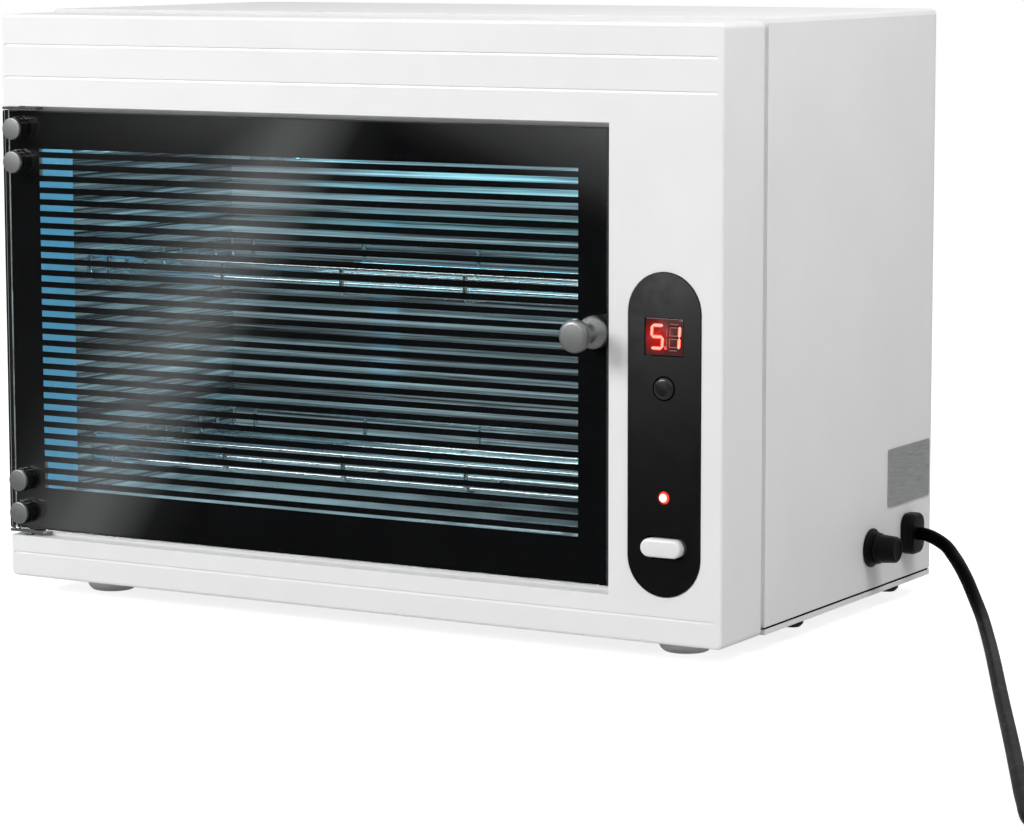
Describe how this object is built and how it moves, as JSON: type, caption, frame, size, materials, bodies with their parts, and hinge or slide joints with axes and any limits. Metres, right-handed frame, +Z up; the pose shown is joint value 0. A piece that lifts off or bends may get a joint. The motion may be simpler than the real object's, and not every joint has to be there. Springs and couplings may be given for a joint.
{
  "type": "uv disinfection cabinet",
  "caption": "Bench-top UV disinfection cabinet with a striped tinted glass door, wire trays, a side control panel with display and buttons, and a mains lead.",
  "frame": {"origin": "on the standing surface, under the middle of the cabinet with its knob and fuse cap, without the lead", "axes": "+X to the right seen from the front, +Y from the door to the back, +Z up"},
  "size_m": [0.6917, 0.4387, 0.2701],
  "materials": {
    "white_moulding": "smooth gloss white",
    "white_paint": "satin white coat",
    "tinted_glass": "dark tinted, polished",
    "panel_black": "gloss black",
    "black_plastic": "satin black",
    "lead_black": "smooth black sheath",
    "washer_rubber": "dull black",
    "foot_rubber": "dull light grey",
    "polished_steel": "bright plated",
    "turned_steel": "satin turned",
    "mirror_sheet": "bright reflecting sheet",
    "grey_nylon": "natural",
    "magnet_steel": "plated",
    "red_lens": "clear red lens",
    "board_green": "coated board",
    "lamp_glass": "clear quartz",
    "lamp_metal": "satin",
    "socket_white": "satin white",
    "ballast_steel": "grey coat",
    "silver_foil": "brushed foil",
    "fuse_glass": "clear glass with metal ends",
    "pin_brass": "bright"
  },
  "bodies": {
    "cabinet": {"front_bezel": "white_moulding", "outer_shell": "white_paint", "base_plate": "white_paint", "control_panel": "panel_black", "power_switch": "black_plastic", "fuse_holder": "black_plastic", "fuse_nut": "black_plastic", "strain_relief": "black_plastic", "plug_body": "black_plastic", "display_module": "black_plastic", "cord_run": "lead_black", "cord_coil": "lead_black", "cord_tail": "lead_black", "cord_tie": "lead_black", "base_screw_1": "washer_rubber", "base_screw_2": "washer_rubber", "base_screw_3": "washer_rubber", "base_screw_4": "washer_rubber", "foot_1": "foot_rubber", "foot_2": "foot_rubber", "foot_3": "foot_rubber", "foot_4": "foot_rubber", "chamber_left": "mirror_sheet", "chamber_right": "mirror_sheet", "chamber_top": "mirror_sheet", "chamber_floor": "mirror_sheet", "chamber_back": "mirror_sheet", "hinge_bushing_top": "grey_nylon", "hinge_bushing_bottom": "grey_nylon", "door_magnet": "magnet_steel", "indicator_light": "red_lens", "control_board": "board_green", "lamp_socket_left": "socket_white", "lamp_socket_right": "socket_white", "ballast": "ballast_steel", "rating_plate": "silver_foil", "plug_pin_1": "pin_brass", "plug_pin_2": "pin_brass"},
    "door": {"door_glass": "tinted_glass", "hinge_clamp_top": "polished_steel", "hinge_clamp_bottom": "polished_steel", "door_knob": "turned_steel", "knob_screw": "turned_steel", "hinge_screw_1": "turned_steel", "hinge_screw_2": "turned_steel", "hinge_screw_3": "turned_steel", "hinge_screw_4": "turned_steel", "hinge_washer_1": "washer_rubber", "hinge_washer_2": "washer_rubber", "hinge_washer_3": "washer_rubber", "hinge_washer_4": "washer_rubber"},
    "lamp": {"uv_tube": "lamp_glass", "lamp_cap_left": "lamp_metal", "lamp_cap_right": "lamp_metal"},
    "upper_tray": {"upper_tray": "polished_steel"},
    "lower_tray": {"lower_tray": "polished_steel"},
    "set_button": {"set_button": "black_plastic"},
    "power_button": {"power_button": "white_moulding"},
    "fuse_cap": {"fuse_cap": "black_plastic", "fuse_link": "fuse_glass"}
  },
  "joints": [
    {"name": "door_hinge", "type": "hinge", "parent": "cabinet", "child": "door", "pos_m": [-0.1838, -0.0943, 0.1275], "axis": [0, 0, -1], "range_deg": [0, 110]},
    {"name": "upper_tray_slide", "type": "slide", "parent": "cabinet", "child": "upper_tray", "axis": [0, -1, 0], "range_m": [0, 0.03]},
    {"name": "lower_tray_slide", "type": "slide", "parent": "cabinet", "child": "lower_tray", "axis": [0, -1, 0], "range_m": [0, 0.03]},
    {"name": "set_button_press", "type": "slide", "parent": "cabinet", "child": "set_button", "axis": [0, 1, 0], "range_m": [0, 0.0006], "stiffness_N_per_m": 2000, "springref_m": -0.0005},
    {"name": "power_button_press", "type": "slide", "parent": "cabinet", "child": "power_button", "axis": [0, 1, 0], "range_m": [0, 0.002], "stiffness_N_per_m": 1200, "springref_m": -0.001},
    {"name": "fuse_cap_turn", "type": "hinge", "parent": "cabinet", "child": "fuse_cap", "pos_m": [0.1837, 0.0477, 0.0305], "axis": [1, 0, 0], "range_deg": [0, 90]},
    {"name": "lamp_turn", "type": "hinge", "parent": "cabinet", "child": "lamp", "pos_m": [-0.0338, 0.0547, 0.204], "axis": [1, 0, 0], "range_deg": [0, 90]}
  ]
}
